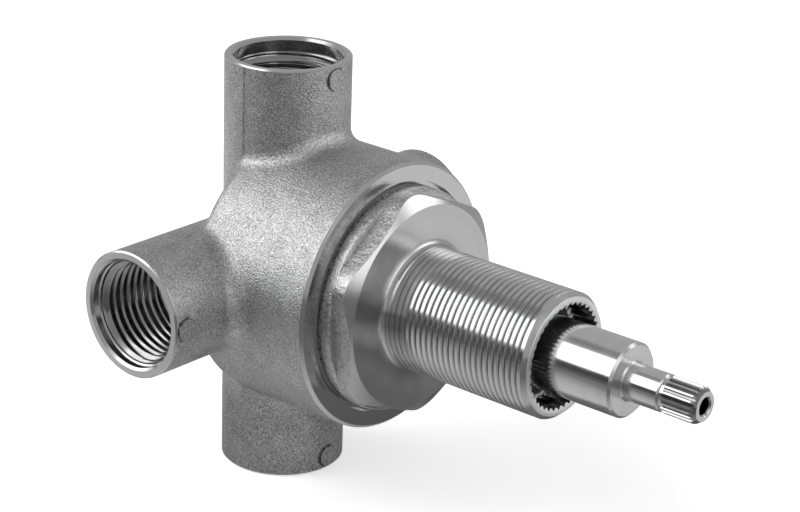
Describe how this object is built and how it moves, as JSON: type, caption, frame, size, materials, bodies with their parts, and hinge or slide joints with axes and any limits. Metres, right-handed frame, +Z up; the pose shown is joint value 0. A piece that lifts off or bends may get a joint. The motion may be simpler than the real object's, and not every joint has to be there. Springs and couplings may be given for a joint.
{
  "type": "concealed diverter valve",
  "caption": "Cast cross-shaped valve body with threaded pipe ports, a hexagon nut with a long threaded sleeve, and a splined spindle that turns a ceramic disc to choose the outlet.",
  "frame": {"origin": "centre of the bottom port's rim, in the plane of the rim", "axes": "+Z up through the bottom and top ports, -X out of the left port, -Y along the spindle towards the handle"},
  "size_m": [0.087, 0.1156, 0.087],
  "materials": {
    "cast_metal": "as cast, fine sand grain",
    "turned_metal": "turned, bright",
    "steel": "ground",
    "plastic": "moulded, satin",
    "rubber": "matte",
    "fibre_seal": "matte pressed fibre",
    "ceramic": "lapped"
  },
  "bodies": {
    "valve": {"valve_body": "cast_metal", "locating_pins": "steel", "cartridge_base": "plastic", "inlet_seal": "rubber", "left_outlet_seal": "rubber", "top_outlet_seal": "rubber", "right_outlet_seal": "rubber", "rim_seal": "rubber", "disc_gasket": "rubber", "fixed_disc": "ceramic", "cartridge_housing": "turned_metal", "sleeve_nut": "turned_metal", "nut_seal": "fibre_seal", "guide_bush": "plastic"},
    "spindle": {"moving_disc": "ceramic", "disc_driver": "plastic", "thrust_washer": "plastic", "stem": "turned_metal", "rear_stem_seal": "rubber", "front_stem_seal": "rubber", "stem_circlip": "steel", "spindle_extension": "turned_metal", "cross_pin": "steel"}
  },
  "joints": [
    {"name": "spindle_turn", "type": "hinge", "parent": "valve", "child": "spindle", "pos_m": [0, 0, 0.0435], "axis": [0, -1, 0], "range_deg": [-90, 90]}
  ]
}
